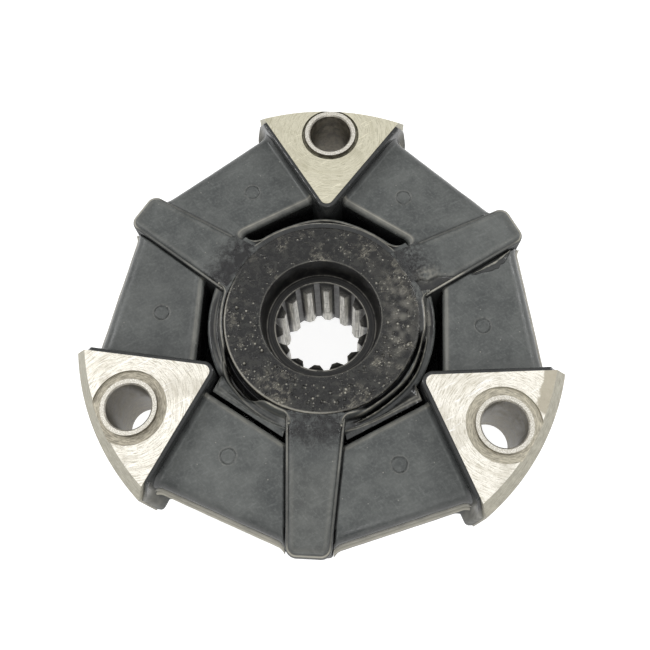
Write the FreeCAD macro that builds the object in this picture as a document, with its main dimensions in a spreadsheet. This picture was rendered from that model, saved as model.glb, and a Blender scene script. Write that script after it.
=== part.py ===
"""Flexible rubber coupling: three bolted flange inserts, a splined three-arm hub, bonded rubber.

Frame: millimetres, +Z along the coupling axis. The origin is on that axis, in the plane of the
sleeve ends that the flywheel or flange seats on, and everything else lies below it. Inserts
point at 90, 210 and 330 degrees and hub arms at 30, 150 and 270 degrees from +X.
"""
import FreeCAD, Part
import math
import os

import Sketcher

DOC = FreeCAD.newDocument("rubber_coupling")
VEC = FreeCAD.Vector
Z_AXIS = VEC(0, 0, 1)
INSERT_ANGLES = (90, 210, 330)
ARM_ANGLES = (30, 150, 270)
ARM_TO_INSERT = 60
SPLINE_TEETH = 14

# alias, value, meaning. Levels are depths below the seating plane.
DIMENSIONS = [
    ("bolt_circle", 140.0, "diameter of the circle through the three bolt bores"),
    ("sleeve_bore", 15.0, "clearance bore for an M14 bolt"),
    ("sleeve_outside", 18.6, "outside diameter of a sleeve"),
    ("sleeve_length", 38.0, "length of a sleeve"),
    ("sleeve_chamfer", 0.45, "chamfer on both ends of the sleeve bore"),
    ("insert_level", 1.0, "depth of the machined insert face"),
    ("insert_thickness", 36.0, "insert thickness"),
    ("insert_half_angle", 34.7, "angle in degrees between a flank and the insert's centre line"),
    ("flank_offset", 22.6, "distance from the coupling axis to the line of a flank"),
    ("insert_tip_radius", 2.4, "rounding of the inward tip"),
    ("insert_radius", 84.0, "outer wall radius"),
    ("insert_face_radius", 80.0, "radius where the machined face meets the bevel"),
    ("bevel_height", 6.5, "height of the outer bevel"),
    ("foot_bevel", 2.0, "bevel at the foot of the outer wall"),
    ("spotface_diameter", 24.8, "milled recess round the sleeve, inserts 2 and 3"),
    ("first_spotface_diameter", 21.0, "the narrower recess on insert 1"),
    ("spotface_depth", 0.9, "depth of that recess"),
    ("coat_thickness", 1.3, "rubber on the flanks and tip of an insert"),
    ("coat_setback", 0.3, "step from the machined face down to the coat"),
    ("block_level", 7.0, "depth of the flat tops of the rubber blocks"),
    ("block_height", 29.0, "height of the rubber blocks"),
    ("block_inner", 42.0, "distance from the axis to a block's inner face"),
    ("block_outer", 72.0, "distance from the axis to a block's outer wall"),
    ("block_tilt", 9.8, "angle in degrees between a block's inner face and outer wall"),
    ("block_end", 43.0, "angle in degrees from the arm where a block's outline ends, in the insert"),
    ("block_outer_round", 4.5, "rounding of a block's outer edges"),
    ("block_inner_round", 1.8, "rounding of a block's inner edges"),
    ("hub_level", 5.0, "depth of the hub's end face and of the arm tops"),
    ("hub_length", 46.0, "hub length"),
    ("hub_radius", 33.4, "radius of the hub's disc"),
    ("hub_edge", 0.8, "chamfer on the disc's edges"),
    ("counterbore_radius", 20.6, "counterbore radius at its mouth"),
    ("seat_radius", 19.4, "counterbore radius at the seat"),
    ("counterbore_depth", 9.5, "depth of the counterbore"),
    ("spline_minor", 27.6, "diameter across the tooth tips"),
    ("spline_major", 32.4, "diameter across the roots"),
    ("tip_gap", 4.1, "width of a tooth space at the tips"),
    ("root_gap", 1.95, "width of a tooth space at the roots"),
    ("spline_clocking", 17.7, "angle in degrees from an arm to the first tooth space"),
    ("spline_lead", 2.3, "lead-in chamfer at both ends of the spline"),
    ("clear_cut", 1.0, "how far a cutting outline passes the material it cuts"),
    ("arm_height", 36.0, "height of a covered arm"),
    ("arm_reach", 78.2, "distance from the axis to the end of a covered arm"),
    ("arm_root_width", 24.6, "covered arm's width where its side lines cross the axis"),
    ("arm_end_width", 14.3, "covered arm's width at its end"),
    ("arm_corner", 3.6, "rounding of the arm's end corners"),
    ("arm_foot", 28.0, "distance from the axis to the arm's root, inside the disc"),
    ("arm_skin", 2.2, "rubber thickness all round the steel arm"),
    ("collar_radius", 38.8, "radius of the rubber collar round the hub"),
    ("collar_drop", 4.5, "height of the collar's sloped shoulder"),
    ("collar_length", 42.0, "height of the collar"),
    ("collar_foot", 1.5, "bevel at the collar's foot"),
]


def make_sheet():
    sheet = DOC.addObject("Spreadsheet::Sheet", "dims")
    for row, (alias, value, meaning) in enumerate(DIMENSIONS, 1):
        sheet.set("A%d" % row, alias)
        sheet.set("B%d" % row, str(value))
        sheet.set("C%d" % row, meaning)
        sheet.setAlias("B%d" % row, alias)
    DOC.recompute()
    return sheet


SHEET = make_sheet()


def dim(alias):
    return float(SHEET.get(alias))


def turned(angle):
    return FreeCAD.Placement(VEC(0, 0, 0), FreeCAD.Rotation(Z_AXIS, angle))


def bind(obj, prop, formula):
    """Tie a property to the sheet. In a formula, every alias follows a $ sign."""
    obj.setExpression(prop, formula.replace("$", "dims."))


def plane_of(body, role):
    return next(part for part in body.Origin.OriginFeatures if part.Role == role)


def new_body(label):
    body = DOC.addObject("PartDesign::Body", label)
    body.Label = label
    return body


def new_sketch(body, name, role="XY_Plane"):
    sketch = body.newObject("Sketcher::SketchObject", name)
    sketch.AttachmentSupport = [(plane_of(body, role), "")]
    sketch.MapMode = "FlatFace"
    return sketch


def name_last(sketch, name, formula):
    """Name the sketch's last constraint and tie it to the sheet."""
    index = sketch.ConstraintCount - 1
    sketch.renameConstraint(index, name)
    bind(sketch, "Constraints." + name, formula)


def evaluate(formula):
    """A formula's value now, used as the starting value of the constraint it drives."""
    return float(SHEET.evalExpression(formula.replace("$", "")))


def outline(sketch, corners):
    """Closed polygon. Each corner is (x formula, y formula) in sheet aliases."""
    points = []
    for x_formula, y_formula in corners:
        points.append(VEC(evaluate(x_formula), evaluate(y_formula), 0))
    count = len(points)
    for k in range(count):
        sketch.addGeometry(Part.LineSegment(points[k], points[(k + 1) % count]), False)
    for k in range(count):
        sketch.addConstraint(Sketcher.Constraint("Coincident", k, 2, (k + 1) % count, 1))
    for k, (x_formula, y_formula) in enumerate(corners):
        for letter, kind, formula in (("x", "DistanceX", x_formula), ("y", "DistanceY", y_formula)):
            value = evaluate(formula)
            if abs(value) < 1e-9:
                on_axis = -2 if letter == "x" else -1
                sketch.addConstraint(Sketcher.Constraint("PointOnObject", k, 1, on_axis))
                continue
            sketch.addConstraint(Sketcher.Constraint(kind, -1, 1, k, 1, value))
            name_last(sketch, "%s%d" % (letter, k), formula)


def circle(sketch, x_formula, diameter_formula):
    """Circle centred on the sketch's X axis."""
    x = evaluate(x_formula)
    diameter = evaluate(diameter_formula)
    index = sketch.addGeometry(Part.Circle(VEC(x, 0, 0), Z_AXIS, diameter / 2), False)
    sketch.addConstraint(Sketcher.Constraint("PointOnObject", index, 3, -1))
    sketch.addConstraint(Sketcher.Constraint("DistanceX", -1, 1, index, 3, x))
    name_last(sketch, "centre", x_formula)
    sketch.addConstraint(Sketcher.Constraint("Diameter", index, diameter))
    name_last(sketch, "diameter", diameter_formula)


def pad(body, sketch, length, name):
    """Pad downwards from the sketch by a length formula."""
    feature = body.newObject("PartDesign::Pad", name)
    feature.Profile = sketch
    feature.Reversed = True
    bind(feature, "Length", length)
    DOC.recompute()
    return feature


def pocket(body, sketch, name, depth=None):
    """Cut downwards: through all, or by a depth formula. It must remove material."""
    before = body.Tip.Shape.Volume
    feature = body.newObject("PartDesign::Pocket", name)
    feature.Profile = sketch
    if depth is None:
        feature.Type = "ThroughAll"
    else:
        bind(feature, "Length", depth)
    DOC.recompute()
    if feature.Shape.Volume > before - 1e-3:
        raise RuntimeError(name + " cuts nothing")
    return feature


def revolve(body, sketch, kind, name):
    """Revolution or Groove of a sketch in the XZ plane, all round the Z axis."""
    feature = body.newObject("PartDesign::" + kind, name)
    feature.Profile = sketch
    feature.ReferenceAxis = (sketch, ["V_Axis"])
    feature.Angle = 360
    DOC.recompute()
    return feature


def level(sketch, formula):
    """Lower a sketch to a depth below the seating plane."""
    bind(sketch, "AttachmentOffset.Base.z", "-(%s)" % formula)


def edges_of(shape, test):
    return ["Edge%d" % n for n, edge in enumerate(shape.Edges, 1) if test(edge)]


def middle(edge):
    return edge.valueAt((edge.FirstParameter + edge.LastParameter) / 2)


def is_upright(edge):
    box = edge.BoundBox
    return box.XLength < 1e-4 and box.YLength < 1e-4


def dress(body, kind, name, size, test):
    """Fillet or Chamfer of the tip's edges that pass the test."""
    base = body.Tip
    feature = body.newObject("PartDesign::" + kind, name)
    feature.Base = (base, edges_of(base.Shape, test))
    bind(feature, "Radius" if kind == "Fillet" else "Size", size)
    DOC.recompute()
    return feature


# ---------------------------------------------------------------- insert outline

def wedge_sketch(body, name, offset, tip_radius):
    """Triangular outline pointing at the axis: flank, tip, flank and the outer arc."""
    half = math.radians(dim("insert_half_angle"))
    away = evaluate(offset)
    rounding = evaluate(tip_radius)
    outer = dim("insert_radius")
    apex = away / math.sin(half)
    along = -apex * math.cos(half) + math.sqrt(outer ** 2 - away ** 2)
    corner = VEC(apex + along * math.cos(half), along * math.sin(half), 0)
    centre = VEC(apex + rounding / math.sin(half), 0, 0)
    touch = VEC(centre.x - rounding * math.sin(half), rounding * math.cos(half), 0)
    sketch = new_sketch(body, name)
    upper = sketch.addGeometry(Part.LineSegment(touch, corner), False)
    mirror = [VEC(point.x, -point.y, 0) for point in (touch, corner)]
    lower = sketch.addGeometry(Part.LineSegment(*mirror), False)
    wall = Part.ArcOfCircle(mirror[1], VEC(outer, 0, 0), corner)
    wall_id = sketch.addGeometry(wall, False)
    tip = Part.ArcOfCircle(touch, VEC(centre.x - rounding, 0, 0), mirror[0])
    tip_id = sketch.addGeometry(tip, False)
    make = Sketcher.Constraint
    sketch.addConstraint(make("Coincident", wall_id, 3, -1, 1))
    sketch.addConstraint(make("Coincident", wall_id, 1, lower, 2))
    sketch.addConstraint(make("Coincident", wall_id, 2, upper, 2))
    sketch.addConstraint(make("Tangent", tip_id, 1, upper, 1))
    sketch.addConstraint(make("Tangent", tip_id, 2, lower, 1))
    sketch.addConstraint(make("PointOnObject", tip_id, 3, -1))
    sketch.addConstraint(make("Radius", wall_id, outer))
    name_last(sketch, "wall", "$insert_radius")
    sketch.addConstraint(make("Radius", tip_id, rounding))
    name_last(sketch, "tip", tip_radius)
    sketch.addConstraint(make("Equal", upper, lower))
    sketch.addConstraint(make("Angle", upper, half))
    name_last(sketch, "lean", "$insert_half_angle * 1deg")
    sketch.addConstraint(make("Distance", -1, 1, upper, away))
    name_last(sketch, "offset", offset)
    return sketch


def wedge_body(label, offset, tip_radius, top, thickness):
    """The insert outline as a plate with its bevelled, curved outer wall, pointing along +X."""
    body = new_body(label)
    sketch = wedge_sketch(body, label + "_outline", offset, tip_radius)
    level(sketch, top)
    pad(body, sketch, thickness, label + "_plate")
    rim = new_sketch(body, label + "_rim", "XZ_Plane")
    beyond = "$insert_radius + $clear_cut"
    slope = "$bevel_height / ($insert_radius - $insert_face_radius)"
    outline(rim, [("$insert_face_radius", "-$insert_level"),
                  ("$insert_face_radius", "$clear_cut"),
                  (beyond, "$clear_cut"),
                  (beyond, "-$insert_level - $bevel_height - $clear_cut * %s" % slope)])
    revolve(body, rim, "Groove", label + "_bevel")
    foot = new_sketch(body, label + "_foot", "XZ_Plane")
    base = "-$insert_level - $insert_thickness"
    outline(foot, [("$insert_radius - $foot_bevel - $clear_cut", base + " - $clear_cut"),
                   (beyond, base + " + $foot_bevel + $clear_cut"),
                   (beyond, base + " - $clear_cut")])
    revolve(body, foot, "Groove", label + "_foot_bevel")
    return body


def make_insert(label, angle, spotface):
    """Cast insert: plate, milled recess round the sleeve and the bore the sleeve is pressed in."""
    body = wedge_body(label, "$flank_offset", "$insert_tip_radius", "$insert_level",
                      "$insert_thickness")
    recess = new_sketch(body, label + "_recess_circle")
    level(recess, "$insert_level")
    circle(recess, "$bolt_circle / 2", spotface)
    pocket(body, recess, label + "_recess", "$spotface_depth")
    hole = new_sketch(body, label + "_hole_circle")
    circle(hole, "$bolt_circle / 2", "$sleeve_outside")
    pocket(body, hole, label + "_hole")
    body.Placement = turned(angle)
    return body


def make_sleeve(label, angle):
    """Pressed steel sleeve with chamfered bore ends, its top end in the seating plane."""
    body = new_body(label)
    blank = new_sketch(body, label + "_outside")
    circle(blank, "$bolt_circle / 2", "$sleeve_outside")
    pad(body, blank, "$sleeve_length", label + "_blank")
    bore = new_sketch(body, label + "_bore_circle")
    circle(bore, "$bolt_circle / 2", "$sleeve_bore")
    pocket(body, bore, label + "_bore")
    radius = dim("sleeve_bore") / 2
    dress(body, "Chamfer", label + "_lead", "$sleeve_chamfer",
          lambda edge: hasattr(edge.Curve, "Radius") and abs(edge.Curve.Radius - radius) < 1e-4)
    body.Placement = turned(angle)
    return body


# ---------------------------------------------------------------- hub and arms

def arm_outline(body, name, skin, top):
    """Tapered arm along +X, from inside the disc to its end. Skin is how far inside the rubber."""
    sketch = new_sketch(body, name)
    level(sketch, top)
    taper = "($arm_root_width - $arm_end_width) / 2 / $arm_reach"
    foot = "$arm_root_width / 2 - $arm_foot * %s - %s" % (taper, skin)
    reach = "$arm_reach - %s" % skin
    end = "$arm_end_width / 2 - %s" % skin
    outline(sketch, [("$arm_foot", "-(%s)" % foot), (reach, "-(%s)" % end),
                     (reach, end), ("$arm_foot", foot)])
    return sketch


def round_arm_ends(body, name, radius):
    """Round the upright corners at the far ends of the arms."""
    beyond = dim("arm_reach") - 2 * dim("arm_skin")
    dress(body, "Fillet", name, radius,
          lambda edge: is_upright(edge) and math.hypot(middle(edge).x, middle(edge).y) > beyond)


def make_arm_form(label, angle):
    """Outer shape of a covered arm."""
    body = new_body(label)
    pad(body, arm_outline(body, label + "_outline", "0", "$hub_level"), "$arm_height",
        label + "_prism")
    round_arm_ends(body, label + "_corners", "$arm_corner")
    body.Placement = turned(angle)
    return body


def polar(body, original, name, axis_sketch, count):
    pattern = body.newObject("PartDesign::PolarPattern", name)
    pattern.Originals = [original]
    pattern.Axis = (axis_sketch, ["N_Axis"])
    pattern.Angle = 360
    pattern.Occurrences = count
    body.Tip = pattern
    DOC.recompute()


def make_hub(label):
    """Turned hub with counterbore, three steel arms and the internal spline."""
    body = new_body(label)
    section = new_sketch(body, label + "_half_section", "XZ_Plane")
    top = "-$hub_level"
    base = "-$hub_level - $hub_length"
    seat = "-$hub_level - $counterbore_depth"
    tips = "$spline_minor / 2"
    lead = "$spline_minor / 2 + $spline_lead"
    outline(section, [("$counterbore_radius", top),
                      ("$hub_radius - $hub_edge", top),
                      ("$hub_radius", top + " - $hub_edge"),
                      ("$hub_radius", base + " + $hub_edge"),
                      ("$hub_radius - $hub_edge", base),
                      (lead, base),
                      (tips, base + " + $spline_lead"),
                      (tips, seat + " - $spline_lead"),
                      (lead, seat),
                      ("$seat_radius", seat)])
    revolve(body, section, "Revolution", label + "_turned")

    arm = arm_outline(body, label + "_arm_outline", "$arm_skin", "$hub_level + $arm_skin")
    first_arm = pad(body, arm, "$arm_height - 2 * $arm_skin", label + "_first_arm")
    polar(body, first_arm, label + "_arms", arm, len(ARM_ANGLES))
    round_arm_ends(body, label + "_arm_corners", "$arm_corner - $arm_skin")

    space = new_sketch(body, label + "_space")
    bind(space, "AttachmentOffset.Rotation.Angle", "$spline_clocking * 1deg")
    inner = "$spline_minor / 2 - $clear_cut"
    flare = "$clear_cut * ($tip_gap - $root_gap) / ($spline_major - $spline_minor)"
    outline(space, [(inner, "-$tip_gap / 2 - " + flare),
                    ("$spline_major / 2", "-$root_gap / 2"),
                    ("$spline_major / 2", "$root_gap / 2"),
                    (inner, "$tip_gap / 2 + " + flare)])
    first_space = pocket(body, space, label + "_first_space")
    polar(body, first_space, label + "_spaces", space, SPLINE_TEETH)
    body.Placement = turned(ARM_ANGLES[0])
    return body


def make_collar_form(label):
    """Rubber ring round the hub with a sloped shoulder, before the arms are cut out of it."""
    body = new_body(label)
    section = new_sketch(body, label + "_half_section", "XZ_Plane")
    top = "-$hub_level - $hub_edge"
    base = "-$hub_level - $collar_length"
    outline(section, [("$hub_radius", top),
                      ("$collar_radius", top + " - $collar_drop"),
                      ("$collar_radius", base + " + $collar_foot"),
                      ("$collar_radius - $collar_foot", base),
                      ("$hub_radius", base)])
    revolve(body, section, "Revolution", label + "_turned")
    return body


# ---------------------------------------------------------------- rubber blocks

def make_block_form(label, side):
    """Block between an arm along +X and the insert to one side of it, before trimming."""
    body = new_body(label)
    sketch = new_sketch(body, label + "_outline")
    level(sketch, "$block_level")
    middle_angle = ARM_TO_INSERT / 2
    inner = "$block_inner / cos(%gdeg)" % middle_angle
    outer = "$block_outer / cos((%g - $block_tilt) * 1deg)" % middle_angle
    insert_end = "$block_outer / cos(($block_end - %g + $block_tilt) * 1deg)" % middle_angle
    sign = "" if side > 0 else "-"
    outline(sketch, [(inner, "0"),
                     (outer, "0"),
                     (insert_end + " * cos($block_end * 1deg)",
                      sign + insert_end + " * sin($block_end * 1deg)"),
                     (inner + " * cos(%gdeg)" % ARM_TO_INSERT,
                      sign + inner + " * sin(%gdeg)" % ARM_TO_INSERT)])
    pad(body, sketch, "$block_height", label + "_prism")
    inward = math.radians(middle_angle * side)
    outward = math.radians((middle_angle - dim("block_tilt")) * side)

    def runs_along(direction, distance):
        def test(edge):
            point = middle(edge)
            reached = point.x * math.cos(direction) + point.y * math.sin(direction)
            return not is_upright(edge) and abs(reached - distance) < 0.01
        return test

    dress(body, "Fillet", label + "_outer_round", "$block_outer_round",
          runs_along(outward, dim("block_outer")))
    dress(body, "Fillet", label + "_inner_round", "$block_inner_round",
          runs_along(inward, dim("block_inner")))
    return body


def cut(label, base, *tools):
    """Base less every tool. The last cut carries the label."""
    for number, tool in enumerate(tools, 1):
        last = number == len(tools)
        feature = DOC.addObject("Part::Cut", label if last else "%s_trim_%d" % (label, number))
        feature.Base = base
        feature.Tool = tool
        base = feature
    base.Label = label
    DOC.recompute()
    return base


# ---------------------------------------------------------------- the assembly

def coat_form(label, angle):
    """Outer shape of an insert with its rubber coat."""
    body = wedge_body(label, "$flank_offset - $coat_thickness",
                      "$insert_tip_radius + $coat_thickness", "$insert_level + $coat_setback",
                      "$insert_thickness - 2 * $coat_setback")
    body.Placement = turned(angle)
    return body


def build():
    parts = []
    insert_form = wedge_body("insert_form", "$flank_offset", "$insert_tip_radius",
                             "$insert_level", "$insert_thickness")
    coated = coat_form("coated_insert_form", 0)
    for number, angle in enumerate(INSERT_ANGLES, 1):
        spotface = "$first_spotface_diameter" if number == 1 else "$spotface_diameter"
        parts.append(make_insert("flange_insert_%d" % number, angle, spotface))
        parts.append(make_sleeve("insert_sleeve_%d" % number, angle))
        coat = cut("insert_coat_%d" % number, coated, insert_form)
        coat.Placement = turned(angle)
        parts.append(coat)

    hub = make_hub("splined_hub")
    parts.append(hub)
    arms = [make_arm_form("arm_form_%d" % n, angle) for n, angle in enumerate(ARM_ANGLES, 1)]
    for number, arm in enumerate(arms, 1):
        parts.append(cut("arm_cover_%d" % number, arm, hub))
    parts.append(cut("hub_cover", make_collar_form("collar_form"), *arms))

    plain_arm = make_arm_form("arm_form", 0)
    for side, name in ((1, "left"), (-1, "right")):
        block = make_block_form("block_form_" + name, side)
        beside = coat_form("coated_insert_form_" + name, ARM_TO_INSERT * side)
        for number, angle in enumerate(ARM_ANGLES, 1):
            node = cut("rubber_block_%d_%s" % (number, name), block, plain_arm, beside)
            node.Placement = turned(angle)
            parts.append(node)
    return parts


def check(parts):
    DOC.recompute()
    for obj in DOC.Objects:
        if "Invalid" in obj.State or "Error" in obj.State:
            raise RuntimeError("%s: %s" % (obj.Name, obj.State))
        if obj.isDerivedFrom("Sketcher::SketchObject") and obj.solve() != 0:
            raise RuntimeError("%s doesn't solve" % obj.Name)
    for part in parts:
        shape = part.Shape
        if shape.isNull() or not shape.isValid() or len(shape.Solids) != 1:
            raise RuntimeError("%s: %d solids" % (part.Label, len(shape.Solids)))


def main():
    parts = build()
    check(parts)
    os.makedirs("parts", exist_ok=True)
    for part in parts:
        part.Shape.exportStep("parts/%s.step" % part.Label)
        box = part.Shape.BoundBox
        print("%-22s %8.0f mm3  z %6.1f to %6.1f" % (part.Label, part.Shape.Volume,
                                                     box.ZMin, box.ZMax))


main()
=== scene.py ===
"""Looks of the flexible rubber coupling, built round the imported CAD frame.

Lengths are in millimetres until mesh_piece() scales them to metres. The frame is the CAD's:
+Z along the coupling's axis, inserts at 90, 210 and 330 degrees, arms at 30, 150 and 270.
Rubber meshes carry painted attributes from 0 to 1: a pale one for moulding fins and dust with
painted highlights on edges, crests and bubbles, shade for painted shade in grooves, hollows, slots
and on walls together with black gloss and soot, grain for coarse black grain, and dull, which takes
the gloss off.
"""
import math
from types import SimpleNamespace

import bmesh
import bpy
import numpy as np
from mathutils import Matrix, Vector, noise


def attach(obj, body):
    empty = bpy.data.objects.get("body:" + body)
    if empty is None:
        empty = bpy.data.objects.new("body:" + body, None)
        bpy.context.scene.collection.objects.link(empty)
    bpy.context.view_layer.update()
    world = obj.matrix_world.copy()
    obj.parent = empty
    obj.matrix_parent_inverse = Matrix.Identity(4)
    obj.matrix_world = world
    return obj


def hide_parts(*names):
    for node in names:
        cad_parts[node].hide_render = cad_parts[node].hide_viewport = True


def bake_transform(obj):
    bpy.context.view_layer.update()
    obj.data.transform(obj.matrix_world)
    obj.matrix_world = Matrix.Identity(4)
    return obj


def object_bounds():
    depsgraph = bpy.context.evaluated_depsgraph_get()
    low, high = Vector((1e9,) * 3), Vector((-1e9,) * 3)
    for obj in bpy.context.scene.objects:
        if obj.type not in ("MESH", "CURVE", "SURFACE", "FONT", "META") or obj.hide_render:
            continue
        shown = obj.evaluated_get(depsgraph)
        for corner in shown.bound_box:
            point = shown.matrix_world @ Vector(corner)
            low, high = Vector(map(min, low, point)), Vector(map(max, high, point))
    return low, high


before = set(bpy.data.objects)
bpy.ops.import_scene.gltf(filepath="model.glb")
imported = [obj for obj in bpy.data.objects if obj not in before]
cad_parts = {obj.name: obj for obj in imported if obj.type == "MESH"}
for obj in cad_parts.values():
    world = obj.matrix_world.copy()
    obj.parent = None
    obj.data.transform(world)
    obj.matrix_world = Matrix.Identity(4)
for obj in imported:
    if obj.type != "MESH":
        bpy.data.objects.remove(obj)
cad_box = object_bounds()

MM = 0.001
INSERT_ANGLES = (90, 210, 330)
ARM_ANGLES = (30, 150, 270)
ARM_TO_INSERT = 60
BOLT_CIRCLE_RADIUS = 70.0
HUB_TOP = -5.0
HUB_RADIUS = 33.4
COUNTERBORE_RADIUS, COUNTERBORE_DEPTH = 20.6, 9.5
BLOCK_TOP, BLOCK_BOTTOM = -7.0, -36.0
BLOCK_INNER, BLOCK_OUTER, BLOCK_TILT = 42.0, 72.0, 9.8
INNER_ROUND, OUTER_ROUND = 1.8, 4.5
ARM_REACH, ARM_ROOT_HALF, ARM_END_HALF = 78.2, 12.3, 7.15
ARM_SLOPE = (ARM_ROOT_HALF - ARM_END_HALF) / ARM_REACH
ARM_CORNER, ARM_BOTTOM = 3.6, -41.0
FLANK_OFFSET, FLANK_ANGLE, TIP_RADIUS = 22.6, 34.7, 2.4
COAT = 1.3
INSERT_RADIUS, FACE_RADIUS = 84.0, 80.0
COLLAR_RADIUS, COLLAR_BOTTOM = 38.3, -47.0
SLOT_RADIUS = 41.0
WEB_RADIUS, WEB_TOP, WEB_GAP = 39.75, -27.0, 0.001
SLOT_END, SLOT_STOP = 2.7, 1.6
MARK_DISTANCE, MARK_RADIUS = 55.5, 2.5
SHARP_ANGLE = math.radians(55)


# ---------------- small tools

def smooth(low, high, value):
    """0 at low and before it, 1 at high and past it, and a smooth step between them."""
    t = held((np.asarray(value, float) - low) / (high - low))
    return t * t * (3 - 2 * t)


def held(value):
    """The value, held between 0 and 1."""
    return np.clip(value, 0, 1)


def window(start, full, ebb, end, value):
    """1 from full to ebb, and smooth steps to 0 at start and end."""
    return smooth(start, full, value) * smooth(end, ebb, value)


def fade(value, width):
    """1 at 0 and before it, falling in a straight line to 0 at the width."""
    return held(1 - value / width)


def bump(centre, width, value):
    """1 at the centre, falling off on both sides over about the width."""
    return np.exp(-((np.asarray(value, float) - centre) / width) ** 2)


def unit(angle):
    """Unit vector at an angle in degrees."""
    return np.array([math.cos(math.radians(angle)), math.sin(math.radians(angle))])


def meet(normal_a, distance_a, normal_b, distance_b):
    """Where the lines n.p = d cross."""
    return np.linalg.solve(np.array([normal_a, normal_b]), np.array([distance_a, distance_b]))


def field(points, scale, seed):
    """Smooth noise, about -1 to 1, one value per point. Scale is the size of its lumps in mm."""
    shift = Vector((seed * 7.31, seed * 3.17, seed * 5.71))
    flat = points.reshape(-1, 3) / scale
    values = [noise.noise(Vector(p) + shift) for p in flat]
    return np.array(values).reshape(points.shape[:-1])


def turn(points, angle):
    """Points turned round the Z axis."""
    c, s = unit(angle)
    out = points.copy()
    out[..., 0] = c * points[..., 0] - s * points[..., 1]
    out[..., 1] = s * points[..., 0] + c * points[..., 1]
    return out


def on_circle(radius, lean, z):
    """Grid of points from radii, angles in radians and heights."""
    return np.stack([radius * np.cos(lean), radius * np.sin(lean), z], -1)


def spaced(low, high, coarse, fine, centre, reach):
    """Values from low to high, closer together within reach of centre."""
    values = [low]
    while values[-1] < high - 1e-6:
        step = fine if abs(values[-1] - centre) < reach else coarse
        values.append(min(high, values[-1] + step))
    if len(values) > 2 and values[-1] - values[-2] < fine / 2:
        del values[-2]
    return np.array(values)


def quarter_round(distance, radius):
    """How far a wall with a rounded inside corner stands in, at a distance from the corner."""
    return radius * (1 - np.sqrt(1 - fade(distance, radius) ** 2))


def mesh_piece(name, points, material, wrap_rows=False, wrap_columns=False, flip=False, **painted):
    """Mesh from a grid of points, in mm. Where only the rows wrap, both ends are capped."""
    rows, columns = points.shape[:2]
    index = np.arange(rows * columns).reshape(rows, columns)
    down = np.roll(index, -1, axis=0) if wrap_rows else index[1:]
    here = index if wrap_rows else index[:-1]
    if wrap_columns:
        quads = np.stack([here, np.roll(here, -1, axis=1), np.roll(down, -1, axis=1), down], -1)
    else:
        quads = np.stack([here[:, :-1], here[:, 1:], down[:, 1:], down[:, :-1]], -1)
    faces = quads.reshape(-1, 4).tolist()
    if wrap_rows and not wrap_columns:
        faces.append(index[:, 0].tolist())
        faces.append(index[::-1, -1].tolist())
    if flip:
        faces = [face[::-1] for face in faces]
    mesh = bpy.data.meshes.new(name)
    mesh.from_pydata((points.reshape(-1, 3) * MM).tolist(), [], faces)
    for label, values in painted.items():
        layer = mesh.attributes.new(label, "FLOAT", "POINT")
        layer.data.foreach_set("value", held(values).astype(np.float32).ravel())
    mesh.polygons.foreach_set("use_smooth", [True] * len(mesh.polygons))
    mesh.set_sharp_from_angle(angle=SHARP_ANGLE)
    mesh.materials.append(material)
    mesh.update()
    return put_in_scene(name, mesh)


def put_in_scene(name, data):
    thing = bpy.data.objects.new(name, data)
    bpy.context.scene.collection.objects.link(thing)
    return thing


# ---------------- materials

def tinted(colour, factor):
    """The colour made brighter or darker."""
    return [min(1, channel * factor) for channel in colour]


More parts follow.
